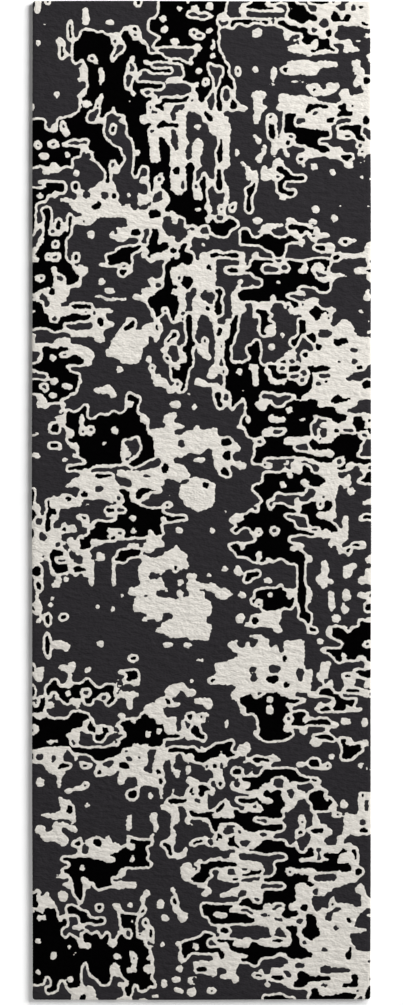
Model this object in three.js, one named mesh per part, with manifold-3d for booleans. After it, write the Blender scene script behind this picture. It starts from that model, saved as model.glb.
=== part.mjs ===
// A hand-tufted runner rug, lying flat with its pile up.
// Millimetres. X runs across the rug, +Y towards its head end and +Z up. The origin is the middle of
// the footprint, on the floor. The pile stands on a primary cloth whose margins are turned under and
// mitred, the back is closed by a second cloth, and four sewn tapes bind the underside's edges.
import * as THREE from "three";
import { mergeVertices } from "three/addons/utils/BufferGeometryUtils.js";
import Module from "manifold-3d";

const wasm = await Module();
wasm.setup();

// ---- driving dimensions -----------------------------------------------------------------------
const rug = { width: 815, length: 2400, cornerRadius: 8 };
const glueLine = 0.1; // left between two plies that lie on each other
const jointGap = 0.3; // left between two pieces that meet edge to edge

const ply = {
  tape: 1.2,
  backingCloth: 0.8,
  hem: 0.8,
  scrim: 0.4,
  latex: 1.2,
  primaryCloth: 0.8,
  pile: 9.6,
};

const foldInset = 4; // the pile fans out past the cloth's fold by this much
const hemReturn = 45; // how far a hem comes back under the rug
const tape = { inset: 7, width: 38 };
const backingInset = 12;
const pileRound = { height: 3, reach: 3, steps: 3 }; // the rolled-over rim of the pile
const seam = { fromTapeEdge: 4, thread: 0.7, channelWidth: 1.4, channelDepth: 0.9, endStop: 2.5 };
const label = { width: 70, depth: 45, thickness: 0.4, cornerRadius: 1.5 };
const labelSeam = { inset: 4, width: 0.7, thickness: 0.3 };
const labelPlace = { fromRightEdge: 145, fromFootEdge: 95 };

// ---- levels, from the floor up ----------------------------------------------------------------
const tapeTop = ply.tape;
const backingBottom = tapeTop + glueLine;
const backingTop = backingBottom + ply.backingCloth;
const hemBottom = backingTop + glueLine;
const hemTop = hemBottom + ply.hem;
const scrimBottom = hemTop + glueLine;
const latexBottom = scrimBottom + ply.scrim + glueLine;
const primaryBottom = latexBottom + ply.latex + glueLine;
const primaryTop = primaryBottom + ply.primaryCloth;
const pileBottom = primaryTop + glueLine;

// The fold is half a ring of cloth between the primary cloth's level and the hem's level.
const foldOuter = (primaryTop - hemBottom) / 2;
const foldInner = foldOuter - ply.hem;
const foldCentreZ = hemBottom + foldOuter;
const foldCentreInset = foldInset + foldOuter;

// ---- materials --------------------------------------------------------------------------------
const finish = (color, roughness) => new THREE.MeshStandardMaterial({ color, roughness, metalness: 0 });
const pileFinish = finish(0x312e32, 0.95);
const clothFinish = finish(0xcfc6b2, 0.9);
const backingFinish = finish(0xb9ab90, 0.9);
const latexFinish = finish(0xe3ddca, 0.6);
const scrimFinish = finish(0xe8e4d8, 0.8);
const tapeFinish = finish(0x29272a, 0.85);
const threadFinish = finish(0x1b1a1c, 0.6);
const labelFinish = finish(0xf2f0ea, 0.7);

const root = new THREE.Group();

function addPart(name, geometry, material) {
  const mesh = new THREE.Mesh(geometry, material);
  mesh.name = name;
  root.add(mesh);
  return mesh;
}

// ---- shapes -----------------------------------------------------------------------------------
function roundedRectangle(width, depth, radius) {
  const x = width / 2;
  const y = depth / 2;
  const shape = new THREE.Shape();
  shape.moveTo(-x + radius, -y);
  shape.lineTo(x - radius, -y);
  shape.absarc(x - radius, -y + radius, radius, -Math.PI / 2, 0);
  shape.lineTo(x, y - radius);
  shape.absarc(x - radius, y - radius, radius, 0, Math.PI / 2);
  shape.lineTo(-x + radius, y);
  shape.absarc(-x + radius, y - radius, radius, Math.PI / 2, Math.PI);
  shape.lineTo(-x, -y + radius);
  shape.absarc(-x + radius, -y + radius, radius, Math.PI, 1.5 * Math.PI);
  return shape;
}

// A flat ply centred on the rug, set in from the pile's edge, standing on the given level.
function flatPly(inset, bottom, thickness, radius) {
  const outline = roundedRectangle(rug.width - 2 * inset, rug.length - 2 * inset, radius);
  const options = { depth: thickness, bevelEnabled: false, curveSegments: 4 };
  return new THREE.ExtrudeGeometry(outline, options).translate(0, 0, bottom);
}

function toSolid(geometry) {
  const bare = geometry.clone();
  bare.deleteAttribute("normal");
  bare.deleteAttribute("uv");
  const merged = mergeVertices(bare, 1e-4);
  return new wasm.Manifold(
    new wasm.Mesh({
      numProp: 3,
      vertProperties: merged.attributes.position.array,
      triVerts: new Uint32Array(merged.index.array),
    }),
  );
}

function toGeometry(solid) {
  const mesh = solid.getMesh();
  const geometry = new THREE.BufferGeometry();
  geometry.setAttribute("position", new THREE.BufferAttribute(mesh.vertProperties, 3));
  geometry.setIndex(new THREE.BufferAttribute(mesh.triVerts, 1));
  geometry.computeVertexNormals();
  return geometry;
}

// The four edges, each with the length of rug along it, the distance from the rug's middle out to
// it, and the turn that takes a strip made for the right edge to its own edge.
const edges = [
  { name: "right", run: rug.length, reach: rug.width / 2, turn: 0 },
  { name: "head", run: rug.width, reach: rug.length / 2, turn: Math.PI / 2 },
  { name: "left", run: rug.length, reach: rug.width / 2, turn: Math.PI },
  { name: "foot", run: rug.width, reach: rug.length / 2, turn: -Math.PI / 2 },
];

// A strip along one edge. The section's x is the distance in from the pile's edge, its y is the
// height. The strip is made along the right edge, mitred at both ends, then turned into place.
function edgeStrip(section, edge) {
  const long = new THREE.ExtrudeGeometry(section, { depth: edge.run, bevelEnabled: false, curveSegments: 6 });
  long.rotateX(Math.PI / 2);
  long.translate(-edge.reach, edge.run / 2, 0);
  long.rotateZ(Math.PI);
  const strip = toSolid(long).intersect(toSolid(mitreWedge(edge)));
  return toGeometry(strip).rotateZ(edge.turn);
}

// The wedge that holds what belongs to the right edge: everything nearer to it than to its
// neighbours, less half the gap that the mitred ends leave between them.
function mitreWedge(edge) {
  const depth = 80;
  const clear = jointGap / Math.SQRT2;
  const outerHalf = edge.run / 2 - clear;
  const shape = new THREE.Shape();
  shape.moveTo(edge.reach, -outerHalf);
  shape.lineTo(edge.reach, outerHalf);
  shape.lineTo(edge.reach - depth, outerHalf - depth);
  shape.lineTo(edge.reach - depth, -outerHalf + depth);
  shape.closePath();
  return new THREE.ExtrudeGeometry(shape, { depth: 20, bevelEnabled: false }).translate(0, 0, -5);
}

// ---- pile -------------------------------------------------------------------------------------
function pileGeometry() {
  const outline = roundedRectangle(
    rug.width - 2 * pileRound.reach,
    rug.length - 2 * pileRound.reach,
    rug.cornerRadius - pileRound.reach,
  );
  const pile = new THREE.ExtrudeGeometry(outline, {
    depth: ply.pile - 2 * pileRound.height,
    bevelThickness: pileRound.height,
    bevelSize: pileRound.reach,
    bevelSegments: pileRound.steps,
    curveSegments: 5,
  });
  return pile.translate(0, 0, pileBottom + pileRound.height);
}

// ---- hems: half a ring of cloth, then the flat return ------------------------------------------
function hemSection() {
  const half = Math.PI / 2;
  const returnEnd = foldCentreInset + hemReturn;
  const section = new THREE.Shape();
  section.moveTo(foldCentreInset, primaryTop);
  section.absarc(foldCentreInset, foldCentreZ, foldOuter, half, 3 * half, false);
  section.lineTo(returnEnd, hemBottom);
  section.lineTo(returnEnd, hemTop);
  section.lineTo(foldCentreInset, hemTop);
  section.absarc(foldCentreInset, foldCentreZ, foldInner, 3 * half, half, true);
  section.closePath();
  return section;
}

// ---- tapes: a flat band with two sewing channels in its underside ------------------------------
function tapeSection() {
  const outer = tape.inset;
  const inner = tape.inset + tape.width;
  const halfChannel = seam.channelWidth / 2;
  const section = new THREE.Shape();
  section.moveTo(outer, 0);
  for (const centre of [outer + seam.fromTapeEdge, inner - seam.fromTapeEdge]) {
    section.lineTo(centre - halfChannel, 0);
    section.lineTo(centre - halfChannel, seam.channelDepth);
    section.lineTo(centre + halfChannel, seam.channelDepth);
    section.lineTo(centre + halfChannel, 0);
  }
  section.lineTo(inner, 0);
  section.lineTo(inner, tapeTop);
  section.lineTo(outer, tapeTop);
  section.closePath();
  return section;
}

// A run of thread lies in a channel and stops just short of the mitres.
function seamRun(inset, edge) {
  const radius = seam.thread / 2;
  const length = edge.run - 2 * (inset + seam.endStop);
  const thread = new THREE.CylinderGeometry(radius, radius, length, 8);
  thread.translate(edge.reach - inset, 0, (seam.channelDepth - glueLine) / 2);
  return thread.rotateZ(edge.turn);
}

// ---- care label and the thread round it --------------------------------------------------------
const labelX = rug.width / 2 - labelPlace.fromRightEdge;
const labelY = -rug.length / 2 + labelPlace.fromFootEdge;
const labelBottom = backingBottom - glueLine - label.thickness;

function labelGeometry() {
  const outline = roundedRectangle(label.width, label.depth, label.cornerRadius);
  const options = { depth: label.thickness, bevelEnabled: false, curveSegments: 4 };
  return new THREE.ExtrudeGeometry(outline, options).translate(labelX, labelY, labelBottom);
}

function labelSeamGeometry() {
  const width = label.width - 2 * labelSeam.inset;
  const depth = label.depth - 2 * labelSeam.inset;
  const ring = roundedRectangle(width, depth, 1.2);
  ring.holes.push(roundedRectangle(width - 2 * labelSeam.width, depth - 2 * labelSeam.width, 0.5));
  const options = { depth: labelSeam.thickness, bevelEnabled: false, curveSegments: 3 };
  const bottom = labelBottom - glueLine - labelSeam.thickness;
  return new THREE.ExtrudeGeometry(ring, options).translate(labelX, labelY, bottom);
}

// ---- assembly, from the top down ---------------------------------------------------------------
addPart("cut_pile", pileGeometry(), pileFinish);
addPart("primary_cloth", flatPly(foldCentreInset + jointGap, primaryBottom, ply.primaryCloth, 1), clothFinish);
addPart("tuft_lock_latex", flatPly(foldCentreInset + jointGap, latexBottom, ply.latex, 1), latexFinish);
addPart("scrim", flatPly(foldCentreInset + jointGap, scrimBottom, ply.scrim, 1), scrimFinish);

const adhesiveInset = foldCentreInset + hemReturn + jointGap;
addPart("backing_adhesive", flatPly(adhesiveInset, hemBottom, ply.hem, 1), latexFinish);
addPart("backing_cloth", flatPly(backingInset, backingBottom, ply.backingCloth, 2), backingFinish);

const outerSeamInset = tape.inset + seam.fromTapeEdge;
const innerSeamInset = tape.inset + tape.width - seam.fromTapeEdge;
for (const edge of edges) {
  addPart(`${edge.name}_hem`, edgeStrip(hemSection(), edge), clothFinish);
  addPart(`${edge.name}_tape`, edgeStrip(tapeSection(), edge), tapeFinish);
  addPart(`${edge.name}_outer_seam`, seamRun(outerSeamInset, edge), threadFinish);
  addPart(`${edge.name}_inner_seam`, seamRun(innerSeamInset, edge), threadFinish);
}

addPart("care_label", labelGeometry(), labelFinish);
addPart("label_seam", labelSeamGeometry(), threadFinish);

export default root;
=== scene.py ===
# A hand-tufted runner rug: cut pile of three yarns on a folded and mitred primary cloth, with a
# latex coat, a scrim, a backing cloth, four sewn tapes and a blank care label. Metres, +Z up.
import math

import bpy
import numpy as np
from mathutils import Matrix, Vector


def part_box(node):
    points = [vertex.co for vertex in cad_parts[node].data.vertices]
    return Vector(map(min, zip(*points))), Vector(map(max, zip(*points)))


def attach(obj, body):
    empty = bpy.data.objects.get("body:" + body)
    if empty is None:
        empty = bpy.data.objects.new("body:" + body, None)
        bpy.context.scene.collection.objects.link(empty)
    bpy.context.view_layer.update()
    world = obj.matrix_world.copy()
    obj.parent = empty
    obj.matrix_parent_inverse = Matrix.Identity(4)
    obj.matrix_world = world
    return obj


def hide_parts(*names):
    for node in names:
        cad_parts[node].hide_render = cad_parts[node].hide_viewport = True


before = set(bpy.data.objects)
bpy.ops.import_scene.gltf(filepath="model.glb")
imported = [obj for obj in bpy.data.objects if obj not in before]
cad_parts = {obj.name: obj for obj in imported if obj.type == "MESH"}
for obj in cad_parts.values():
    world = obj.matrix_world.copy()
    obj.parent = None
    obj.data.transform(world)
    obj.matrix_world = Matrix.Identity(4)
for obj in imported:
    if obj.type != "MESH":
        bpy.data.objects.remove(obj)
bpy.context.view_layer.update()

MM = 0.001
EDGE_TURNS = {"right": 0.0, "head": 90.0, "left": 180.0, "foot": -90.0}

# ---- what the frame says -----------------------------------------------------------------------
pile_low, pile_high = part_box("cut_pile")
cloth_low, cloth_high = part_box("primary_cloth")
hem_low, hem_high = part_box("right_hem")
tape_low, tape_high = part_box("right_tape")

rug_width = pile_high.x - pile_low.x
rug_length = pile_high.y - pile_low.y
half_width = rug_width / 2
half_length = rug_length / 2
cloth_ply = cloth_high.z - cloth_low.z
fold_inset = half_width - hem_high.x
fold_outer = (cloth_high.z - hem_low.z) / 2
fold_centre_inset = fold_inset + fold_outer
hem_end_inset = half_width - hem_low.x
tape_outer_inset = half_width - tape_high.x
tape_inner_inset = half_width - tape_low.x


# ---- the tufting chart -------------------------------------------------------------------------
# A seeded rule says which of the three yarns is tufted where: stepped patches of ivory and black on
# a charcoal ground, with small spots on all three. Softening the finished levels and cutting them
# twice puts an ivory outline between black and charcoal wherever the two meet.
CHARCOAL, IVORY, BLACK = -1.0, 0.0, 1.0
OUTLINE_SOFTNESS = 4.2  # mm; the ivory outline comes out about 1.35 times as wide
PATCH_ROUNDING = 3.6  # mm
CHART_SEED = 5
BLACK_SHARE = 0.305  # of the chart, before spots and outlines
IVORY_SHARE = 0.295
BLACK_CUT, CHARCOAL_CUT = 0.5, -0.5  # the finished levels above and below which those yarns start

# Layers of noise: a cell across and down the rug in mm, the layer's share, and how blocky it is.
DARK_LAYERS = ((200.0, 175.0, 1.0, 1.6), (84.0, 60.0, 0.6, 1.8))
LIGHT_LAYERS = ((180.0, 160.0, 1.0, 1.6), (80.0, 70.0, 0.6, 1.8))
LEVEL_LAYERS = ((58.0, 17.0, 1.0, 2.2), (27.0, 12.0, 0.75, 2.2))
UPRIGHT_LAYERS = ((18.0, 60.0, 1.0, 2.2), (13.0, 28.0, 0.75, 2.2))
LEAN_CELLS, LEAN_BIAS, LEAN_EDGE = (170.0, 200.0), 0.15, 9.0  # where marks run level or upright
# How much the marks stand out from the broad patches in calm and in busy stretches.
BUSY_CELLS, BUSY_MEAN, BUSY_SWING, BUSY_RANGE = (240.0, 220.0), 0.74, 0.75, (0.34, 1.2)
MARK_STRENGTH = 1.6

WOBBLE = 2.6  # mm; how far outlines wander, and the cells that they wander by
WOBBLE_ACROSS_CELLS, WOBBLE_DOWN_CELLS = (17.0, 13.0), (19.0, 15.0)
OUTLINE_JITTER = 0.19  # of a level; single yarn ends stand a little in or out of the outline
JITTER_CELLS = (5.0, 3.6)

# Spots: the loose grid that they stand on and their size, in mm, and how likely each yarn bears one.
SPOT_PITCH_ACROSS, SPOT_PITCH_DOWN = 37.0, 30.0
SPOT_STRAY_ACROSS, SPOT_STRAY_DOWN = 20.0, 16.0
SPOT_LEAST, SPOT_GROWTH = 7.5, 4.5
SPOT_WIDTH = 0.85  # of its height
SPOT_STRETCH, SPOT_UNSTRETCHED = 1.5, 0.6  # how fast the widest spots widen, and the share that don't
SPOT_SQUARENESS = 2.4
SPOT_MARGIN = 10.0
SPOT_CHANCES = {CHARCOAL: 0.20, IVORY: 0.40, BLACK: 0.46}
BLACK_ON_IVORY = 0.55  # share of the spots on ivory that are black and not charcoal
EYE_FROM, EYE_SIZE = 0.6, 0.6  # growth from which a spot on black has a charcoal eye, and its size


def between(lattice, i, j, s, t):
    """The lattice's value at share s across and share t down the cell in column i and row j."""
    upper = lattice[j, i] * (1.0 - s) + lattice[j, i + 1] * s
    lower = lattice[j + 1, i] * (1.0 - s) + lattice[j + 1, i + 1] * s
    return upper * (1.0 - t) + lower * t


def value_noise(rng, across, down, cell_across, cell_down, blocky=1.0):
    """Smooth noise from -1 to 1 on a lattice of cells, so that its lobes lie along the two axes.
    The blockier it is, the flatter and squarer they are."""
    columns = int(across.max() / cell_across) + 3
    rows = int(down.max() / cell_down) + 3
    lattice = rng.uniform(-1.0, 1.0, (rows, columns))
    u = np.clip(across / cell_across, 0.0, columns - 2.001)
    v = np.clip(down / cell_down, 0.0, rows - 2.001)
    i = u.astype(int)
    j = v.astype(int)
    s = np.clip((u - i - 0.5) * blocky + 0.5, 0.0, 1.0)
    t = np.clip((v - j - 0.5) * blocky + 0.5, 0.0, 1.0)
    s = s * s * (3.0 - 2.0 * s)
    t = t * t * (3.0 - 2.0 * t)
    return between(lattice, i, j, s, t)


def layered_noise(rng, across, down, layers):
    """The sum of several layers of noise."""
    noises = []
    for cell_across, cell_down, share, blocky in layers:
        noises.append(share * value_noise(rng, across, down, cell_across, cell_down, blocky))
    return sum(noises)


def soften(field, sigma):
    """Gaussian blur of a 2-D field, sigma in grid steps, with the edge values carried outwards."""
    reach = int(3.0 * sigma) + 1
    kernel = np.exp(-0.5 * (np.arange(-reach, reach + 1) / sigma) ** 2)
    kernel /= kernel.sum()
    for axis in (0, 1):
        pad = [(0, 0), (0, 0)]
        pad[axis] = (reach, reach)
        wide = np.pad(field, pad, mode="edge")
        size = field.shape[axis]
        field = sum(k * np.take(wide, range(n, n + size), axis) for n, k in enumerate(kernel))
    return field


def stepped_noise(rng, across, down):
    """Lobes that run level in some stretches of the rug and upright in others."""
    level = layered_noise(rng, across, down, LEVEL_LAYERS)
    upright = layered_noise(rng, across, down, UPRIGHT_LAYERS)
    dye_and_lie_shade = LEAN_BIAS + value_noise(rng, across, down, *LEAN_CELLS)
    lean = 1.0 / (1.0 + np.exp(-LEAN_EDGE * dye_and_lie_shade))
    return level * lean + upright * (1.0 - lean)


def spot_colour(under, kind):
    """Spots are ivory on charcoal and black, and black or charcoal on ivory."""
    if under != IVORY:
        return IVORY
    return BLACK if kind < BLACK_ON_IVORY else CHARCOAL


def scatter_spots(rng, level, across, down, step):
    """Small round and oval spots on a loose grid, coloured by the yarn that they fall on."""
    ground = level.copy()
    rows, columns = level.shape
    for y in np.arange(0.5 * SPOT_PITCH_DOWN, down.max(), SPOT_PITCH_DOWN):
        for x in np.arange(0.5 * SPOT_PITCH_ACROSS, across.max(), SPOT_PITCH_ACROSS):
            jitter_x, jitter_y, chance, kind, grow, stretch = rng.uniform(0.0, 1.0, 6)
            place = (x + (jitter_x - 0.5) * SPOT_STRAY_ACROSS, y + (jitter_y - 0.5) * SPOT_STRAY_DOWN)
            under = ground[min(rows - 1, int(place[1] / step)), min(columns - 1, int(place[0] / step))]
            if chance > SPOT_CHANCES[under]:
                continue
            high = SPOT_LEAST + SPOT_GROWTH * grow
            wide = high * (SPOT_WIDTH + SPOT_STRETCH * max(0.0, stretch - SPOT_UNSTRETCHED))
            paint_spot(level, across, down, step, place, wide, high, spot_colour(under, kind))
            if under == BLACK and grow > EYE_FROM:
                paint_spot(level, across, down, step, place, EYE_SIZE * wide, EYE_SIZE * high, CHARCOAL)


def paint_spot(level, across, down, step, place, half_width, half_height, colour):
    """One superellipse on the chart, its outline wandering with the chart's own wobble."""
    x, y = place
    reach = max(half_width, half_height) + SPOT_MARGIN
    rows = slice(max(0, int((y - reach) / step)), int((y + reach) / step) + 1)
    columns = slice(max(0, int((x - reach) / step)), int((x + reach) / step) + 1)
    u = np.abs(across[rows, columns] - x) / half_width
    v = np.abs(down[rows, columns] - y) / half_height
    level[rows, columns][u**SPOT_SQUARENESS + v**SPOT_SQUARENESS < 1.0] = colour


def rounded_patches(score, share, step):
    """Where the score is in its top share, with points and slivers rounded away."""
    patches = score > np.quantile(score, 1.0 - share)
    return soften(patches.astype(float), PATCH_ROUNDING / step) > 0.5


def tufting_chart(width, length, step):
    """The finished chart as one smooth field: black above BLACK_CUT, charcoal below CHARCOAL_CUT."""
    rng = np.random.default_rng(CHART_SEED)
    grid_across = np.arange(0.0, width + 0.5 * step, step)
    grid_down = np.arange(0.0, length + 0.5 * step, step)
    across, down = np.meshgrid(grid_across, grid_down)
    aside = WOBBLE * value_noise(rng, across, down, *WOBBLE_ACROSS_CELLS)
    along = WOBBLE * value_noise(rng, across, down, *WOBBLE_DOWN_CELLS)
    across_wobbled = np.clip(across + aside, 0.0, width)
    down_wobbled = np.clip(down + along, 0.0, length)

    busy = np.clip(BUSY_MEAN + BUSY_SWING * value_noise(rng, across, down, *BUSY_CELLS), *BUSY_RANGE)
    dark = layered_noise(rng, across, down, DARK_LAYERS)
    light = layered_noise(rng, across, down, LIGHT_LAYERS)
    dark += MARK_STRENGTH * busy * stepped_noise(rng, across_wobbled, down_wobbled)
    light += MARK_STRENGTH * busy * stepped_noise(rng, across_wobbled, down_wobbled)

    level = np.full(across.shape, CHARCOAL)
    level[rounded_patches(light, IVORY_SHARE, step)] = IVORY
    level[rounded_patches(dark, BLACK_SHARE, step)] = BLACK
    scatter_spots(rng, level, across_wobbled, down_wobbled, step)
    jitter = value_noise(rng, across, down, *JITTER_CELLS)
    return soften(level, OUTLINE_SOFTNESS / step) + OUTLINE_JITTER * jitter


def yarn_at(level):
    """The yarn that a finished level of the chart calls for."""
    return np.where(level > BLACK_CUT, BLACK, np.where(level < CHARCOAL_CUT, CHARCOAL, IVORY))


# ---- mesh helpers ------------------------------------------------------------------------------
def mesh_piece(name, vertices, quads, material, smooth=True):
    """A named object from arrays of vertices and quads; smooth is one flag, or one for each quad."""
    vertices = np.asarray(vertices, np.float32)
    quads = np.asarray(quads, np.int32)
    mesh = bpy.data.meshes.new(name)
    mesh.vertices.add(len(vertices))
    mesh.vertices.foreach_set("co", vertices.ravel())
    mesh.loops.add(quads.size)
    mesh.loops.foreach_set("vertex_index", quads.ravel())
    mesh.polygons.add(len(quads))
    mesh.polygons.foreach_set("loop_start", np.arange(0, quads.size, 4, dtype=np.int32))
    mesh.polygons.foreach_set("loop_total", np.full(len(quads), 4, np.int32))
    flags = np.broadcast_to(np.asarray(smooth, bool), (len(quads),))
    mesh.polygons.foreach_set("use_smooth", np.ascontiguousarray(flags))
    mesh.update(calc_edges=True)
    return placed(name, mesh, material)


def placed(name, mesh, material):
    """The mesh as an object in the scene with its material."""
    mesh.validate()
    mesh.materials.append(material)
    piece = bpy.data.objects.new(name, mesh)
    bpy.context.scene.collection.objects.link(piece)
    return piece


def settle(piece, slot, *nodes):
    """Rides the piece on the rug, and hides the CAD nodes that it stands for. The slot argument is not
    used.
    """
    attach(piece, "root")
    if nodes:
        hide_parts(*nodes)
    return piece


def tube_quads(rings, sides):
    """Quads between rings of a swept section. Ring n holds vertices n * sides onwards."""
    ring, side = np.meshgrid(np.arange(rings - 1), np.arange(sides), indexing="ij")
    after = ring + 1
    beside = (side + 1) % sides
    corners = (ring * sides + side, ring * sides + beside, after * sides + beside, after * sides + side)
    return np.stack(corners, -1).reshape(-1, 4)


def polygon_piece(name, vertices, faces, material, smooth=True):
    """An object from faces of any number of corners."""
    mesh = bpy.data.meshes.new(name)
    mesh.from_pydata([tuple(v) for v in vertices], [], [[int(c) for c in face] for face in faces])
    mesh.polygons.foreach_set("use_smooth", np.full(len(mesh.polygons), smooth))
    return placed(name, mesh, material)


def edge_run(edge):
    """The length of rug along an edge, and how far the edge is from the middle."""
    if edge in ("right", "left"):
        return rug_length, half_width
    return rug_width, half_length


def turned(points, edge):
    """Points made for the right edge, turned to the named edge."""
    angle = math.radians(EDGE_TURNS[edge])
    cosine, sine = math.cos(angle), math.sin(angle)
    x, y, z = np.asarray(points, float).T
    return np.stack((x * cosine - y * sine, x * sine + y * cosine, z), 1)


# ---- materials ---------------------------------------------------------------------------------
class Finish:
    """A node material round one Principled shader, with short calls for what cloth needs."""

    def __init__(self, name, roughness, sheen=0.0, specular=0.2):
        self.material = bpy.data.materials.new(name)
        self.material.use_nodes = True
        self.tree = self.material.node_tree
        self.shader = self.tree.nodes["Principled BSDF"]
        self.shader.inputs["Roughness"].default_value = roughness
        self.shader.inputs["Specular IOR Level"].default_value = specular
        self.shader.inputs["Sheen Weight"].default_value = sheen
        self.shader.inputs["Sheen Roughness"].default_value = 0.5
        self.place = self.node("ShaderNodeTexCoord").outputs["Object"]

    def node(self, kind, **settings):
        made = self.tree.nodes.new(kind)
        for key, value in settings.items():
            setattr(made, key, value)
        return made

    def link(self, source, target):
        self.tree.links.new(source, target)

    def stretched(self, stretch):
        """The place on the cloth, with patterns made longer by the given times along X, Y and Z."""
        made = self.node("ShaderNodeMapping")
        made.inputs["Scale"].default_value = [1.0 / times for times in stretch]
        self.link(self.place, made.inputs["Vector"])
        return made.outputs["Vector"]

    def noise(self, feature, detail=2.0, stretch=None):
        """Noise from 0 to 1 whose lumps are about one feature across, in metres."""
        made = self.node("ShaderNodeTexNoise")
        made.inputs["Scale"].default_value = 1.0 / feature
        made.inputs["Detail"].default_value = detail
        self.link(self.stretched(stretch) if stretch else self.place, made.inputs["Vector"])
        return made.outputs["Fac"]

    def cells(self, feature, stretch):
        """Distance from the nearest of many scattered points, one for each yarn end."""
        made = self.node("ShaderNodeTexVoronoi")
        made.inputs["Scale"].default_value = 1.0 / feature
        self.link(self.stretched(stretch), made.inputs["Vector"])
        return made.outputs["Distance"]

    def bands(self, pitch, direction, distortion=0.4):
        """Even bands of the given pitch across X, Y or the diagonal."""
        made = self.node("ShaderNodeTexWave", bands_direction=direction)
        made.inputs["Scale"].default_value = math.pi / (10.0 * pitch)
        made.inputs["Distortion"].default_value = distortion
        self.link(self.place, made.inputs["Vector"])
        return made.outputs["Fac"]

    def combine(self, first, second, operation="MULTIPLY"):
        made = self.node("ShaderNodeMath", operation=operation)
        self.link(first, made.inputs[0])
        self.link(second, made.inputs[1])
        return made.outputs[0]

    def spread(self, source, low, high, from_low=0.3, from_high=0.7):
        """Maps a source's working range onto another."""
        made = self.node("ShaderNodeMapRange")
        made.inputs["From Min"].default_value = from_low
        made.inputs["From Max"].default_value = from_high
        made.inputs["To Min"].default_value = low
        made.inputs["To Max"].default_value = high
        self.link(source, made.inputs["Value"])
        return made.outputs["Result"]

    def colour(self, source, dark, light):
        """Base colour from dark to light as the source goes through its working range."""
        ramp = self.node("ShaderNodeValToRGB")
        ramp.color_ramp.elements[0].position = 0.3
        ramp.color_ramp.elements[0].color = (*dark, 1.0)
        ramp.color_ramp.elements[1].position = 0.7
        ramp.color_ramp.elements[1].color = (*light, 1.0)
        self.link(source, ramp.inputs["Fac"])
        self.link(ramp.outputs["Color"], self.shader.inputs["Base Color"])

    def roughness(self, source, low, high):
        self.link(self.spread(source, low, high), self.shader.inputs["Roughness"])

    def bump(self, *layers, invert_first=False):
        """Stacked bumps, each given as a height source, a strength and a depth in metres."""
        before = None
        for source, strength, depth in layers:
            made = self.node("ShaderNodeBump", invert=invert_first and before is None)
            made.inputs["Strength"].default_value = strength
            made.inputs["Distance"].default_value = depth
            self.link(source, made.inputs["Height"])
            if before:
                self.link(before, made.inputs["Normal"])
            before = made.outputs["Normal"]
        self.link(before, self.shader.inputs["Normal"])


def shade(colour, factor):
    return tuple(channel * factor for channel in colour)


def wool_finish(name, colour, contrast, sheen, specular):
    """Dyed wool fibres, with a slow drift of dye and a painted shade of the pile's lie in the base
    colour; no bump yet.
    """
    finish = Finish(name, 0.95, sheen, specular)
    # base colour drifts darker and lighter: partly dye, partly painted shade of the pile's lie
    dye_and_lie_shade = finish.noise(9 * MM, 3.0)
    finish.colour(dye_and_lie_shade, shade(colour, 1.0 - contrast), shade(colour, 1.0 + contrast))
    finish.roughness(finish.noise(30 * MM), 0.88, 0.99)
    return finish


def pile_finish(name, *wool):
    """The cut face of the pile: yarn ends about 3 mm across, pressed wider across the rug."""
    finish = wool_finish(name, *wool)
    yarn_ends = (finish.cells(2.9 * MM, (2.0, 1.0, 1.0)), 0.62, 1.4 * MM)
    fibres = (finish.noise(0.8 * MM, 4.0), 0.7, 0.5 * MM)
    finish.bump(yarn_ends, fibres, invert_first=True)
    return finish.material


def strand_finish(name, *wool):
    """A single yarn seen from the side: fibres that run up it, and its uneven twist."""
    finish = wool_finish(name, *wool)
    fibres = (finish.noise(0.45 * MM, 3.0, (1.0, 1.0, 5.0)), 0.8, 0.5 * MM)
    finish.bump(fibres, (finish.noise(2.0 * MM), 0.35, 0.7 * MM))
    return finish.material


def woven_finish(name, colour, pitch, depth, folded=False):
    """Plain weave: warp and weft bands that cross, with slubs and a little soiling, and painted shade
    that darkens the colour between the threads. A folded cloth's bands also cross where it stands on
    edge."""
    finish = Finish(name, 0.85, 0.15)
    crossing = "MAXIMUM" if folded else "MULTIPLY"
    weave = finish.combine(finish.bands(pitch, "X"), finish.bands(pitch, "Y"), crossing)
    if folded:
        weave = finish.combine(weave, finish.bands(0.7 * pitch, "DIAGONAL"))
    # the noise is slubs and soiling; the weave term darkens the colour where the threads dip, which is
    # painted shade
    soiling_and_weave_shade = finish.combine(finish.noise(14 * MM, 4.0), finish.spread(weave, 0.85, 1.1, 0.0, 1.0))
    finish.colour(soiling_and_weave_shade, shade(colour, 0.80), shade(colour, 1.10))
    finish.roughness(finish.noise(25 * MM), 0.78, 0.95)
    finish.bump((weave, 0.6, depth), (finish.noise(0.7 * MM), 0.2, 0.1 * MM))
    return finish.material


def twill_finish(name, colour):
    """Plain twill tape: one diagonal rib with fine fibres."""
    finish = Finish(name, 0.8, 0.25)
    rib = finish.bands(1.5 * MM, "DIAGONAL", 0.2)
    finish.colour(finish.noise(6 * MM, 4.0), shade(colour, 0.75), shade(colour, 1.35))
    finish.roughness(finish.noise(18 * MM), 0.7, 0.92)
    finish.bump((rib, 0.7, 0.3 * MM), (finish.noise(0.5 * MM), 0.2, 0.1 * MM))
    return finish.material


def latex_finish():
    """Dried latex: cream, pebbled and faintly glossy; its colour is darker in the hollows of the
    pebbling, as painted shade.
    """
    finish = Finish("latex_finish", 0.6, 0.0, 0.4)
    lumps = finish.noise(7 * MM, 4.0)
    # colour follows the pebbling's height: darker in its hollows, which is painted shade
    finish.colour(lumps, (0.62, 0.55, 0.40), (0.80, 0.74, 0.60))
    finish.roughness(lumps, 0.45, 0.75)
    finish.bump((lumps, 0.5, 0.5 * MM))
    return finish.material


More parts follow.
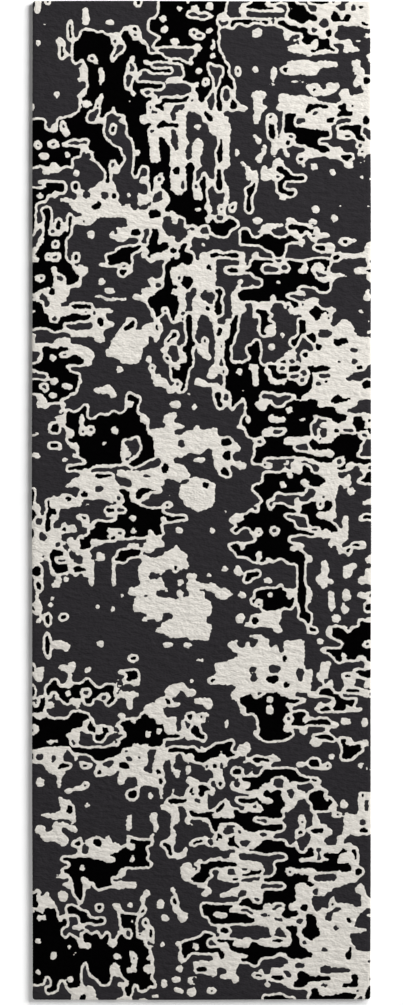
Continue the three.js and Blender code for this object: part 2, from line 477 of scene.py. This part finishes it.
def thread_finish():
    """Twisted polyester thread with a low shine."""
    finish = Finish("thread_finish", 0.5, 0.1, 0.4)
    twist = finish.bands(0.6 * MM, "DIAGONAL", 0.1)
    finish.colour(finish.noise(4 * MM), (0.008, 0.008, 0.009), (0.020, 0.019, 0.021))
    finish.roughness(finish.noise(10 * MM), 0.42, 0.62)
    finish.bump((twist, 0.6, 0.12 * MM))
    return finish.material


# ---- the cut pile ------------------------------------------------------------------------------
PILE_STEP = 2.5  # mm between the pile's mesh lines
CHART_STEP = PILE_STEP / 2
SNAP_LIMIT = 0.42  # of a step; how far a border vertex slides onto the outline without folding a quad
STEPPED_LIMIT = 0.26  # the same round black marks, whose outlines step from yarn to yarn
BANDS = 4
CORNER_RADIUS = 8.0  # mm
TOP_MARGIN = 0.7  # mm between the pile's mean height and the top of its box
PILE_SEED = 31
# The relief of the cut yarn ends, in the chart's kind of layers, with shares in mm: rows of tufts,
# clumps, single ends and a slow swell.
PILE_LAYERS = (
    (22.0, 5.0, 0.65, 1.0),
    (10.0, 4.2, 0.45, 1.0),
    (5.2, 2.6, 0.35, 1.0),
    (60.0, 50.0, 0.2, 1.0),
)
RIM_DROP, RIM_REACH = 1.4, 9.0  # mm; how the pile rolls over at its edge
RIM_CALM = 0.6  # share of the relief that is trimmed away at the edge
TOP_SHIFT, FOOT_SHIFT = 1.1, 4.0  # mm; how far the pile's solid stands in from the rim's yarn ends
SHIFT_REACH = 12.0  # mm from the edge, where those shifts fade out
STRAY, STRAY_REACH = 0.0011, 0.045  # m; a hand-trimmed edge wanders a little, and how far in it shows
STRAY_WAVES = ((0.34, 0.6, 1.3), (0.12, 0.4, 2.1))  # m a radian, share, and phase on one side
COLOUR_CREASE = 0.5  # mm; yarns of two colours part a little where they meet
YARNS = {"ivory": IVORY, "charcoal": CHARCOAL, "black": BLACK}


def face_yarns(field):
    """The yarn of each mesh face. Black never touches charcoal, and no yarn meets itself at a corner."""
    yarn = yarn_at(field[1::2, 1::2])
    for _ in range(4):
        drop_specks(yarn)
    for _ in range(8):
        changed = part_black_from_charcoal(yarn) + join_corners(yarn)
        if not changed:
            break
    return yarn


def drop_specks(yarn):
    """Turns dark faces to ivory where fewer than two of their four neighbours have the same yarn."""
    wide = np.pad(yarn, 1, mode="edge")
    neighbours = (wide[:-2, 1:-1], wide[2:, 1:-1], wide[1:-1, :-2], wide[1:-1, 2:])
    alike = sum((neighbour == yarn).astype(int) for neighbour in neighbours)
    yarn[(alike < 2) & (yarn != IVORY)] = IVORY


def part_black_from_charcoal(yarn):
    """Turns charcoal faces that touch a black one to ivory, and says how many."""
    black = np.pad(yarn == BLACK, 1)
    rows, columns = yarn.shape
    near = np.zeros(yarn.shape, bool)
    for j in range(3):
        for i in range(3):
            near |= black[j:j + rows, i:i + columns]
    hit = near & (yarn == CHARCOAL)
    yarn[hit] = IVORY
    return int(hit.sum())


def join_corners(yarn):
    """Turns one face to ivory wherever a yarn meets itself only across a corner, and says how often."""
    a, b, c, d = yarn[:-1, :-1], yarn[:-1, 1:], yarn[1:, :-1], yarn[1:, 1:]
    falling = (a == d) & (b != a) & (c != a)
    ivory = falling & (a == IVORY)
    a[falling & ~ivory] = IVORY
    b[ivory] = IVORY
    rising = (b == c) & (a != b) & (d != b)
    ivory = rising & (b == IVORY)
    b[rising & ~ivory] = IVORY
    a[ivory] = IVORY
    return int(falling.sum() + rising.sum())


def sampled(field, across, down):
    """The chart's value between its samples."""
    rows, columns = field.shape
    u = np.clip(across / CHART_STEP, 0.0, columns - 1.001)
    v = np.clip(down / CHART_STEP, 0.0, rows - 1.001)
    i, j = u.astype(int), v.astype(int)
    return between(field, i, j, u - i, v - j)


def colour_borders(yarn):
    """For each mesh vertex: whether two yarns meet there, and the chart level that parts them."""
    around = np.pad(yarn, 1, mode="edge")
    corners = np.stack((around[:-1, :-1], around[:-1, 1:], around[1:, :-1], around[1:, 1:]))
    border = corners.max(0) != corners.min(0)
    cut = np.where(corners.max(0) == BLACK, BLACK_CUT, CHARCOAL_CUT)
    return border, cut


def snapped_lattice(field, border, cut):
    """Mesh vertices in mm across and down, with those on a colour border slid onto the outline."""
    rows, columns = border.shape
    lines_across, lines_down = np.arange(columns) * PILE_STEP, np.arange(rows) * PILE_STEP
    start_across, start_down = np.meshgrid(lines_across, lines_down)
    slope_down, slope_across = np.gradient(field, CHART_STEP)
    across, down = start_across.copy(), start_down.copy()
    limit = np.where(cut > 0.0, STEPPED_LIMIT, SNAP_LIMIT) * PILE_STEP
    for _ in range(3):
        miss = cut - sampled(field, across, down)
        gx = sampled(slope_across, across, down)
        gy = sampled(slope_down, across, down)
        steep = np.maximum(gx**2 + gy**2, 1e-4)
        across = np.where(border, across + miss * gx / steep, across)
        down = np.where(border, down + miss * gy / steep, down)
        across = np.clip(across, start_across - limit, start_across + limit)
        down = np.clip(down, start_down - limit, start_down + limit)
    across[:, 0], across[:, -1] = start_across[:, 0], start_across[:, -1]
    down[0], down[-1] = start_down[0], start_down[-1]
    return across, down


def rounded_corners(x, y, half_x, half_y, radius):
    """Pulls the corner squares of a rectangular grid into quarter discs."""
    u = np.maximum(np.abs(x) - (half_x - radius), 0.0)
    v = np.maximum(np.abs(y) - (half_y - radius), 0.0)
    inside = (u > 0.0) & (v > 0.0)
    pull = np.where(inside, np.maximum(u, v) / np.maximum(np.hypot(u, v), 1e-9), 1.0)
    x = np.where(inside, np.sign(x) * (half_x - radius + u * pull), x)
    y = np.where(inside, np.sign(y) * (half_y - radius + v * pull), y)
    return x, y


def drawn_in(across, down, shift):
    """Positions from the rug's middle in mm, with the outermost ones moved in by up to the shift."""
    width, length = rug_width / MM, rug_length / MM
    from_side = np.minimum(across, width - across)
    from_end = np.minimum(down, length - down)
    x, y = across - width / 2, length / 2 - down
    x = x - np.sign(x) * shift * np.clip(1.0 - from_side / SHIFT_REACH, 0.0, 1.0)
    y = y - np.sign(y) * shift * np.clip(1.0 - from_end / SHIFT_REACH, 0.0, 1.0)
    return rounded_corners(x, y, width / 2 - shift, length / 2 - shift, CORNER_RADIUS - shift)


def strayed(points):
    """Points in metres, moved with the wander of the trimmed edges."""
    x, y = points[..., 0], points[..., 1]
    moved = points.copy()
    for axis, here, along, reach in ((0, x, y, half_width), (1, y, x, half_length)):
        near = np.clip(1.0 - (reach - np.abs(here)) / STRAY_REACH, 0.0, 1.0)
        for length, share, phase in STRAY_WAVES:
            wave = np.sin(along / length + phase * np.sign(here) + axis)
            moved[..., axis] += STRAY * share * near * wave
    return moved


def pile_surfaces(across, down, border):
    """The pile's top and foot vertices in metres, as arrays shaped like the mesh grid."""
    width, length = rug_width / MM, rug_length / MM
    from_edge = np.minimum(np.minimum(across, width - across), np.minimum(down, length - down))
    rim = np.clip(1.0 - from_edge / RIM_REACH, 0.0, 1.0)
    lumps = layered_noise(np.random.default_rng(PILE_SEED), across, down, PILE_LAYERS)
    lumps = lumps * (1.0 - RIM_CALM * rim)
    height = pile_high.z / MM - TOP_MARGIN + lumps - RIM_DROP * rim**2 - COLOUR_CREASE * border
    top = np.stack((*drawn_in(across, down, TOP_SHIFT), height), -1) * MM
    level = np.full(height.shape, pile_low.z / MM)
    foot = np.stack((*drawn_in(across, down, FOOT_SHIFT), level), -1) * MM
    return strayed(top), strayed(foot)


def surface_normals(surface):
    """Unit normals of a grid surface whose rows run down the rug and columns across it."""
    normals = np.cross(np.gradient(surface, axis=1), -np.gradient(surface, axis=0))
    return normals / np.linalg.norm(normals, axis=2, keepdims=True)


def grid_solid(name, chosen, top, foot, material, normals=None):
    """The closed solid of the chosen mesh faces: top, foot and a wall wherever the choice ends.
    Normals of the whole surface keep the shading even where two solids meet."""
    rows, columns = chosen.shape
    ids = np.arange((rows + 1) * (columns + 1)).reshape(rows + 1, columns + 1)
    a, b, c, d = ids[:-1, :-1], ids[1:, :-1], ids[1:, 1:], ids[:-1, 1:]
    below = ids.size
    tops = np.stack((a, b, c, d), -1)[chosen]
    wide = np.pad(chosen, 1)
    sides = [
        (a, b, wide[1:-1, :-2]),
        (b, c, wide[2:, 1:-1]),
        (c, d, wide[1:-1, 2:]),
        (d, a, wide[:-2, 1:-1]),
    ]
    walls = []
    for start, end, neighbour in sides:
        open_side = chosen & ~neighbour
        p, q = start[open_side], end[open_side]
        walls.append(np.stack((q, p, p + below, q + below), -1))
    quads = np.concatenate([tops, tops[:, ::-1] + below, *walls])
    used, quads = np.unique(quads, return_inverse=True)
    vertices = np.concatenate((top.reshape(-1, 3), foot.reshape(-1, 3)))[used]
    smooth = np.arange(quads.size // 4) < len(tops)
    piece = mesh_piece(name, vertices, quads.reshape(-1, 4), material, smooth)
    if normals is not None:
        corners = np.zeros((quads.size, 3))
        corners[:tops.size] = normals.reshape(-1, 3)[tops.ravel()]
        piece.data.normals_split_custom_set(corners)
    return piece


def build_pile(field, finishes):
    """Twelve pieces: each yarn in four bands down the rug."""
    yarn = face_yarns(field)
    border, cut = colour_borders(yarn)
    across, down = snapped_lattice(field, border, cut)
    top, foot = pile_surfaces(across, down, border)
    normals = surface_normals(top)
    band_rows = yarn.shape[0] // BANDS
    for word, level in YARNS.items():
        for band in range(BANDS):
            rows = slice(band * band_rows, (band + 1) * band_rows)
            lines = slice(rows.start, rows.stop + 1)
            name = f"pile_{word}_{band + 1}"
            chosen = yarn[rows] == level
            piece = grid_solid(name, chosen, top[lines], foot[lines], finishes[word], normals[lines])
            settle(piece, f"pile_{word}", "cut_pile")


# ---- the yarn ends round the rim ---------------------------------------------------------------
TUFT_PITCH = 2.9  # mm
TUFT_SIDES = 6
TUFT_RADII = (1.2, 1.4, 1.35, 1.0)  # mm, from the root to the cut end
# Each row round the rim, in mm: how far in its roots lie, how high above the cloth they are, how far
# in its cut ends lie and how high they are.
TUFT_ROWS = ((5.2, 2.6, 1.8, 7.6), (4.6, 1.4, 1.6, 6.0), (4.2, 0.8, 1.4, 4.4), (4.0, 0.6, 1.1, 2.6))
TUFT_SEED = 53
REACH_VARIES, RISE_VARIES, SWAY_VARIES = (-0.5, 0.4), (-0.7, 0.5), (-0.7, 0.7)  # mm
TUFT_CURVE = 0.8  # below 1 a tuft leans out early and then stands up
TUFT_TILT = 0.7  # of its radius, how far a tuft's section reaches out and down


def rim_outline(inset, pitch):
    """Points and outward directions round the rug at one inset, in mm, with rounded corners."""
    radius = CORNER_RADIUS - inset
    half_x, half_y = half_width / MM - inset, half_length / MM - inset
    points, outward = [], []
    corners = [
        (half_x, -half_y, -90.0),
        (half_x, half_y, 0.0),
        (-half_x, half_y, 90.0),
        (-half_x, -half_y, 180.0),
    ]
    arc_steps = max(3, int(0.5 * math.pi * radius / pitch))
    for x, y, start in corners:
        cx, cy = x - math.copysign(radius, x), y - math.copysign(radius, y)
        for n in range(arc_steps + 1):
            angle = math.radians(start + 90.0 * n / arc_steps)
            direction = (math.cos(angle), math.sin(angle))
            points.append((cx + radius * direction[0], cy + radius * direction[1]))
            outward.append(direction)
    points, outward = np.array(points), np.array(outward)
    filled, facing = [], []
    for n in range(len(points)):
        here, there = points[n], points[(n + 1) % len(points)]
        count = max(1, round(float(np.hypot(*(there - here))) / pitch))
        share = np.arange(count)[:, None] / count
        filled.append(here + (there - here) * share)
        facing.append(outward[n] + (outward[(n + 1) % len(points)] - outward[n]) * share)
    return np.concatenate(filled), np.concatenate(facing)


def tuft_row(rng, root_inset, root_height, tip_inset, tip_height):
    """Centre lines of one row of tufts round the rug: an array of tuft, ring and coordinate."""
    root_height += pile_low.z / MM
    tip_height += pile_low.z / MM
    roots, outward = rim_outline(root_inset, TUFT_PITCH)
    count = len(roots)
    share = np.linspace(0.0, 1.0, len(TUFT_RADII))[None, :, None]
    reach = (root_inset - tip_inset + rng.uniform(*REACH_VARIES, count))[:, None, None]
    rise = (tip_height - root_height + rng.uniform(*RISE_VARIES, count))[:, None, None]
    sway = rng.uniform(*SWAY_VARIES, count)[:, None, None]
    along = np.stack((-outward[:, 1], outward[:, 0]), 1)
    flat = roots[:, None, :] + outward[:, None, :] * reach * share**TUFT_CURVE
    flat = flat + along[:, None, :] * sway * share
    height = root_height + rise * share
    return np.concatenate((flat, height), 2), outward, along


def tuft_solids(lines, outward, along):
    """Vertices of the tapered tufts round their centre lines, in metres."""
    turn = np.arange(TUFT_SIDES) * 2.0 * math.pi / TUFT_SIDES
    across = np.concatenate((along, np.zeros((len(along), 1))), 1)[:, None, None, :]
    lean = np.concatenate((TUFT_TILT * outward, np.full((len(outward), 1), -TUFT_TILT)), 1)
    lean = lean[:, None, None, :]
    radii = np.array(TUFT_RADII)[None, :, None, None]
    circle = across * np.cos(turn)[None, None, :, None] + lean * np.sin(turn)[None, None, :, None]
    return (lines[:, :, None, :] + radii * circle) * MM


def build_rim_tufts(field, finishes):
    """Rows of single yarn ends that close the pile's side, coloured by the chart."""
    rng = np.random.default_rng(TUFT_SEED)
    rows = [tuft_row(rng, *row) for row in TUFT_ROWS]
    lines, outward, along = (np.concatenate(parts) for parts in zip(*rows))
    solids = strayed(tuft_solids(lines, outward, along))
    level = sampled(field, lines[:, -1, 0] + half_width / MM, half_length / MM - lines[:, -1, 1])
    yarn = yarn_at(level)
    rings = len(TUFT_RADII)
    sides = tube_quads(rings, TUFT_SIDES)
    last = (rings - 1) * TUFT_SIDES
    root_cap = [(0, 5, 4, 1), (1, 4, 3, 2)]
    end_cap = [(last, last + 1, last + 4, last + 5), (last + 1, last + 2, last + 3, last + 4)]
    one = np.concatenate((sides, root_cap, end_cap))[:, ::-1]
    for word, colour in YARNS.items():
        chosen = solids[yarn == colour]
        vertices = chosen.reshape(-1, 3)
        steps = np.arange(len(chosen))[:, None, None] * rings * TUFT_SIDES
        quads = (one[None] + steps).reshape(-1, 4)
        piece = mesh_piece(f"rim_tufts_{word}", vertices, quads, finishes[word])
        settle(piece, f"pile_{word}")


# ---- cloths and coats under the pile -----------------------------------------------------------
FOLD_STEPS = 8
CLOTH_MIDDLE = 10 * MM  # from the rug's middle line to the innermost ring of the primary cloth
CLOTH_RINGS = [300 * MM, 200 * MM, 100 * MM]  # how far in its other rings lie
HEM_RING = 30 * MM
CLOTH_STEPS = (20, 60)  # of each ring, across the rug and along it


def arc_profile(centre_inset, centre_height, radius, start, end):
    """Points of a section's round stretch as (inset, height); the angle opens inwards from 0."""
    angles = [math.radians(start + (end - start) * n / FOLD_STEPS) for n in range(FOLD_STEPS + 1)]
    return [(centre_inset + radius * math.cos(a), centre_height + radius * math.sin(a)) for a in angles]


def rectangle_ring(inset, height, steps_x, steps_y):
    """Points round the rug at one inset, as many on every ring, so that rings join with mitres."""
    x, y = half_width - inset, half_length - inset
    u = np.linspace(-1.0, 1.0, steps_x + 1)[:-1]
    v = np.linspace(-1.0, 1.0, steps_y + 1)[:-1]
    foot = np.stack((x * u, np.full(u.shape, -y)), 1)
    right = np.stack((np.full(v.shape, x), y * v), 1)
    flat = np.concatenate((foot, right, -foot, -right))
    return np.concatenate((flat, np.full((len(flat), 1), height)), 1)


def folded_cloth_section():
    """Half a section of the primary cloth, from its middle over the fold to the hem's end and back."""
    centre_height = hem_low.z + fold_outer
    inner = fold_outer - cloth_ply
    over = arc_profile(fold_centre_inset, centre_height, fold_outer, 90.0, 270.0)
    under = arc_profile(fold_centre_inset, centre_height, inner, 270.0, 90.0)
    hem_top = hem_low.z + cloth_ply
    stations = [half_width - CLOTH_MIDDLE, *CLOTH_RINGS, HEM_RING]
    upper = [(inset, cloth_high.z) for inset in stations]
    lower = [(inset, cloth_low.z) for inset in reversed(stations)]
    hem_out = [(HEM_RING, hem_low.z), (hem_end_inset, hem_low.z)]
    hem_back = [(hem_end_inset, hem_top), (HEM_RING, hem_top)]
    return upper + over + hem_out + hem_back + under + lower


def build_primary_cloth(finish):
    """One cloth: the sheet that holds the tufts, with its margins folded under and mitred."""
    section = folded_cloth_section()
    rings = [rectangle_ring(inset, height, *CLOTH_STEPS) for inset, height in section]
    vertices = np.concatenate(rings)
    sides = 2 * sum(CLOTH_STEPS)
    faces = [list(quad)[::-1] for quad in tube_quads(len(section), sides)]
    faces.append(list(range(sides)))
    faces.append([(len(section) - 1) * sides + n for n in reversed(range(sides))])
    piece = polygon_piece("primary_cloth_folded", vertices, faces, finish)
    hems = [f"{edge}_hem" for edge in EDGE_TURNS]
    settle(piece, "primary_cloth", "primary_cloth", *hems)


def ply(name, node, pitch, relief, cell, seed, finish, slot, shrink=0.0):
    """A closed slab in a CAD node's box whose two faces rise and fall a little. The mesh pitch, relief
    and shrink are in metres, and the relief's cell is in mm. A shrink thins the slab's edges."""
    low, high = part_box(node)
    rng = np.random.default_rng(seed)
    columns = max(2, round((high.x - low.x) / pitch))
    rows = max(2, round((high.y - low.y) / pitch))
    lines_x, lines_y = np.linspace(low.x, high.x, columns + 1), np.linspace(high.y, low.y, rows + 1)
    x, y = np.meshgrid(lines_x, lines_y)
    across, down = (x - low.x) / MM, (high.y - y) / MM
    from_edge = np.minimum(np.minimum(x - low.x, high.x - x), np.minimum(y - low.y, high.y - y))
    thin = np.where(from_edge < 0.5 * pitch, shrink, 0.0)
    upper = high.z - relief * (0.5 + 0.5 * value_noise(rng, across, down, cell, cell)) - thin
    lower = low.z + relief * (0.5 + 0.5 * value_noise(rng, across, down, cell, cell)) + thin
    top, foot = np.stack((x, y, upper), -1), np.stack((x, y, lower), -1)
    piece = grid_solid(name, np.ones((rows, columns), bool), top, foot, finish)
    return settle(piece, slot, node), (high.x - low.x, high.y - low.y)


def build_plies(latex, scrim, backing):
    """The latex coat, the scrim pressed into it, the adhesive and the backing cloth."""
    ply("latex_coat", "tuft_lock_latex", pitch=8 * MM, relief=0.30 * MM, cell=13.0, seed=61,
        finish=latex, slot="latex")
    gauze, size = ply("scrim_gauze", "scrim", pitch=10 * MM, relief=0.06 * MM, cell=16.0, seed=62,
                      finish=scrim, slot="scrim")
    ply("adhesive_coat", "backing_adhesive", pitch=8 * MM, relief=0.20 * MM, cell=17.0, seed=63,
        finish=latex, slot="latex")
    back, size = ply("backing_sheet", "backing_cloth", pitch=7 * MM, relief=0.10 * MM, cell=23.0, seed=64,
                     finish=backing, slot="backing_cloth", shrink=0.1 * MM)


# ---- binding tapes and their seams -------------------------------------------------------------
CHANNEL_WIDTH, CHANNEL_DEPTH, CHANNEL_FLARE = 1.4 * MM, 0.9 * MM, 0.15 * MM
SELVEDGE = 0.25 * MM
MITRE_CLEAR = 0.3 * MM / math.sqrt(2.0)
TAPE_PITCH = 20 * MM
STITCH_PITCH = 8.0 * MM
STITCH_SIDES = 6
# Through one stitch, from needle hole to needle hole: the share of its length, and how deep it lies.
STITCH_SHARES = np.array([0.0, 0.07, 0.16, 0.30, 0.5, 0.70, 0.84, 0.93])
STITCH_DEPTHS = np.array([1.0, 0.72, 0.16, 0.02, 0.0, 0.02, 0.16, 0.72])
SEAM_DIP = 0.35 * MM  # depth of a needle hole in a tape
SEAM_THREAD = 0.8  # of the CAD thread's radius
LABEL_THREAD, LABEL_DIP, LABEL_SINK = 0.14 * MM, 0.1 * MM, 0.15 * MM
LABEL_SEAM_INSET = 0.35 * MM


def seam_insets():
    """How far the outer and inner seams lie from the pile's edge."""
    outer_low, outer_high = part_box("right_outer_seam")
    inner_low, inner_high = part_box("right_inner_seam")
    return [half_width - (outer_low.x + outer_high.x) / 2, half_width - (inner_low.x + inner_high.x) / 2]


def tape_section():
    """The tape's section as (inset, height): softened selvedges and two sewn channels below."""
    low, high = tape_low.z, tape_high.z
    section = [(tape_outer_inset, low + SELVEDGE), (tape_outer_inset + SELVEDGE, low)]
    for centre in seam_insets():
        for side, height in ((-1, low), (-1, low + CHANNEL_DEPTH), (1, low + CHANNEL_DEPTH), (1, low)):
            flare = CHANNEL_FLARE if height == low else 0.0
            section.append((centre + side * (CHANNEL_WIDTH / 2 + flare), height))
    section += [(tape_inner_inset - SELVEDGE, low), (tape_inner_inset, low + SELVEDGE)]
    section += [(tape_inner_inset, high - SELVEDGE), (tape_inner_inset - SELVEDGE, high)]
    section += [(tape_outer_inset + SELVEDGE, high), (tape_outer_inset, high - SELVEDGE)]
    return section


def build_tape(edge, finish):
    """One edge's tape, mitred at both ends."""
    run, reach = edge_run(edge)
    section = np.array(tape_section())
    stations = np.linspace(-1.0, 1.0, max(2, round(run / TAPE_PITCH)))
    half = run / 2 - section[:, 0] - MITRE_CLEAR
    x = np.broadcast_to(reach - section[:, 0], (len(stations), len(section)))
    z = np.broadcast_to(section[:, 1], x.shape)
    points = np.stack((x, stations[:, None] * half, z), -1).reshape(-1, 3)
    sides = len(section)
    faces = [list(quad) for quad in tube_quads(len(stations), sides)]
    faces.append(list(reversed(range(sides))))
    faces.append([(len(stations) - 1) * sides + n for n in range(sides)])
    piece = polygon_piece(f"binding_{edge}", turned(points, edge), faces, finish, False)
    settle(piece, "binding_tape", f"{edge}_tape")
    return piece, run


def stitched_thread(run, place, dip, radius):
    """A lockstitch along +Y: long visible stretches that dive into the cloth at each needle hole."""
    count = max(1, round(run / STITCH_PITCH))
    pitch = run / count
    along = ((np.arange(count)[:, None] + STITCH_SHARES) * pitch).ravel()
    along = np.append(along, run) - run / 2
    height = np.append(np.tile(STITCH_DEPTHS, count), 1.0) * dip
    turn = np.arange(STITCH_SIDES) * 2.0 * math.pi / STITCH_SIDES
    x = np.broadcast_to(radius * np.cos(turn), (len(along), STITCH_SIDES))
    z = height[:, None] + radius * np.sin(turn)
    y = np.broadcast_to(along[:, None], x.shape)
    points = np.stack((x, y, z), -1).reshape(-1, 3) + np.array(place)
    quads = tube_quads(len(along), STITCH_SIDES)[:, ::-1]
    last = (len(along) - 1) * STITCH_SIDES
    first_cap = [(0, 1, 4, 5), (1, 2, 3, 4)]
    last_cap = [(last, last + 5, last + 4, last + 1), (last + 1, last + 4, last + 3, last + 2)]
    return points, np.concatenate((quads, first_cap, last_cap))


def build_seam(edge, which, inset, finish):
    """One row of stitches in a tape's channel."""
    node = f"{edge}_{which}_seam"
    low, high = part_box(node)
    run = max(high.x - low.x, high.y - low.y)
    reach = edge_run(edge)[1]
    radius = (high.z - low.z) / 2
    place = (reach - inset, 0.0, low.z + radius)
    points, quads = stitched_thread(run, place, SEAM_DIP, SEAM_THREAD * radius)
    piece = mesh_piece(f"stitches_{edge}_{which}", turned(points, edge), quads, finish)
    return settle(piece, "sewing_thread", node)


def build_bindings(tape_material, thread_material):
    outer_inset, inner_inset = seam_insets()
    for edge in EDGE_TURNS:
        tape, run = build_tape(edge, tape_material)
        outer = build_seam(edge, "outer", outer_inset, thread_material)
        inner = build_seam(edge, "inner", inner_inset, thread_material)


def build_label(label_material, thread_material):
    """A blank woven label with one row of stitches inside its edge."""
    label, size = ply("blank_label", "care_label", pitch=2.5 * MM, relief=0.04 * MM, cell=9.0, seed=65,
                      finish=label_material, slot="care_label")
    low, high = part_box("label_seam")
    middle = (low + high) / 2
    half_x = (high.x - low.x) / 2 - LABEL_SEAM_INSET
    half_y = (high.y - low.y) / 2 - LABEL_SEAM_INSET
    all_points, all_quads, offset = [], [], 0
    for quarter, (reach, run) in enumerate([(half_x, half_y), (half_y, half_x)] * 2):
        place = (reach, 0.0, high.z - LABEL_SINK)
        points, quads = stitched_thread(2 * run, place, LABEL_DIP, LABEL_THREAD)
        for _ in range(quarter):
            points = points[:, [1, 0, 2]] * np.array([-1.0, 1.0, 1.0])
        all_points.append(points + np.array([middle.x, middle.y, 0.0]))
        all_quads.append(quads + offset)
        offset += len(points)
    points, quads = np.concatenate(all_points), np.concatenate(all_quads)
    seam = mesh_piece("label_stitches", points, quads, thread_material)
    settle(seam, "sewing_thread", "label_seam")


# ---- floor, light and camera -------------------------------------------------------------------
FLOOR_SIZE, FLOOR_SINK = 30.0, 0.3 * MM  # m; the floor lies just clear of the tapes
SOFTBOX_PLACE, SOFTBOX_SIZE, SOFTBOX_POWER = (2.4, 3.2, 3.7), 1.6, 172.0  # m, m and W
SUN_PLACE, SUN_SPREAD, SUN_STRENGTH = (0.74, 0.34, 0.50), math.radians(25.0), 2.66
GLOW_DISTANCE = (5.4, 8.2)  # m from the softbox
FLOOR_GLOW = (0.09, 0.62)  # at those two distances
OVERHEAD_LIGHT, HORIZON_LIGHT = 0.11, 1.0
HORIZON_FADE = (0.10, 0.25)  # how high up the surroundings start to dim, and where they are dimmest
CAMERA_LENS, CAMERA_SENSOR = 200.0, 36.0  # mm
FRAME_HEIGHT = 2.4135  # m of floor from the picture's top to its foot
FRAME_SHIFT = -0.0050  # m along the rug, from its middle to the picture's


def floor_finish():
    """A plain white studio floor. It glows more the further it lies from the softbox, and so stays
    white wherever no shadow falls."""
    finish = Finish("floor_finish", 0.9, 0.0, 0.0)
    finish.colour(finish.noise(0.5), (0.96, 0.96, 0.96), (0.98, 0.98, 0.98))
    away = finish.node("ShaderNodeVectorMath", operation="DISTANCE")
    finish.link(finish.place, away.inputs[0])
    away.inputs[1].default_value = SOFTBOX_PLACE
    glow = finish.spread(away.outputs["Value"], *FLOOR_GLOW, *GLOW_DISTANCE)
    finish.shader.inputs["Emission Color"].default_value = (1.0, 1.0, 1.0, 1.0)
    finish.link(glow, finish.shader.inputs["Emission Strength"])
    return finish.material


def build_floor():
    size = FLOOR_SIZE / 2
    corners = [(-size, -size, 0.0), (size, -size, 0.0), (size, size, 0.0), (-size, size, 0.0)]
    floor = polygon_piece("floor", corners, [(0, 1, 2, 3)], floor_finish(), False)
    floor.location.z = -FLOOR_SINK


def build_world():
    """Soft white surroundings, bright low down and dimmer overhead."""
    world = bpy.data.worlds.new("studio")
    world.use_nodes = True
    nodes, links = world.node_tree.nodes, world.node_tree.links
    place = nodes.new("ShaderNodeTexCoord")
    parts = nodes.new("ShaderNodeSeparateXYZ")
    fade = nodes.new("ShaderNodeMapRange")
    fade.inputs["From Min"].default_value = HORIZON_FADE[0]
    fade.inputs["From Max"].default_value = HORIZON_FADE[1]
    fade.inputs["To Min"].default_value = HORIZON_LIGHT
    fade.inputs["To Max"].default_value = OVERHEAD_LIGHT
    links.new(place.outputs["Generated"], parts.inputs[0])
    links.new(parts.outputs["Z"], fade.inputs["Value"])
    links.new(fade.outputs["Result"], nodes["Background"].inputs["Strength"])
    nodes["Background"].inputs["Color"].default_value = (1.0, 1.0, 1.0, 1.0)
    bpy.context.scene.world = world


def add_light(name, kind, energy, position, size):
    """A white light that looks from its position at the rug; size is metres, or radians for a sun."""
    data = bpy.data.lights.new(name, kind)
    data.energy = energy
    if kind == "SUN":
        data.angle = size
    else:
        data.shape = "DISK"
        data.size = size
    light = bpy.data.objects.new(name, data)
    light.location = position
    light.rotation_mode = "QUATERNION"
    light.rotation_quaternion = (-Vector(position)).to_track_quat("-Z", "Y")
    bpy.context.scene.collection.objects.link(light)


def build_lights():
    build_world()
    add_light("side_sun", "SUN", SUN_STRENGTH, SUN_PLACE, SUN_SPREAD)
    add_light("head_softbox", "AREA", SOFTBOX_POWER, SOFTBOX_PLACE, SOFTBOX_SIZE)


def build_camera():
    data = bpy.data.cameras.new("camera")
    data.lens = CAMERA_LENS
    data.sensor_width = CAMERA_SENSOR
    data.clip_end = 100.0
    camera = bpy.data.objects.new("camera", data)
    height = pile_high.z + FRAME_HEIGHT * CAMERA_LENS / CAMERA_SENSOR
    camera.location = (0.0, FRAME_SHIFT, height)
    bpy.context.scene.collection.objects.link(camera)
    bpy.context.scene.camera = camera
    bpy.context.scene.view_settings.view_transform = "Standard"


# ---- assembly ----------------------------------------------------------------------------------
build_camera()
build_lights()
build_floor()

# Each yarn's colour, how much the colour varies, its sheen and its specular level.
wools = {
    "ivory": ((0.745, 0.712, 0.655), 0.07, 0.05, 0.05),
    "charcoal": ((0.0275, 0.0255, 0.0285), 0.10, 0.01, 0.02),
    "black": ((0.0010, 0.0009, 0.0010), 0.15, 0.0, 0.0),
}
chart_field = tufting_chart(rug_width / MM, rug_length / MM, CHART_STEP)
cut_ends = {word: pile_finish(f"pile_{word}_finish", *wool) for word, wool in wools.items()}
build_pile(chart_field, cut_ends)
strands = {word: strand_finish(f"strand_{word}_finish", *wool) for word, wool in wools.items()}
build_rim_tufts(chart_field, strands)

thread = thread_finish()
build_primary_cloth(woven_finish(
    "primary_cloth_finish", (0.60, 0.54, 0.42), pitch=1.8 * MM, depth=0.4 * MM, folded=True))
build_plies(
    latex_finish(),
    woven_finish("scrim_finish", (0.75, 0.73, 0.66), pitch=2.6 * MM, depth=0.3 * MM),
    woven_finish("backing_cloth_finish", (0.46, 0.40, 0.28), pitch=1.6 * MM, depth=0.3 * MM),
)
build_bindings(twill_finish("binding_tape_finish", (0.024, 0.022, 0.025)), thread)
label_cloth = woven_finish("care_label_finish", (0.86, 0.85, 0.82), pitch=0.5 * MM, depth=0.06 * MM)
build_label(label_cloth, thread)
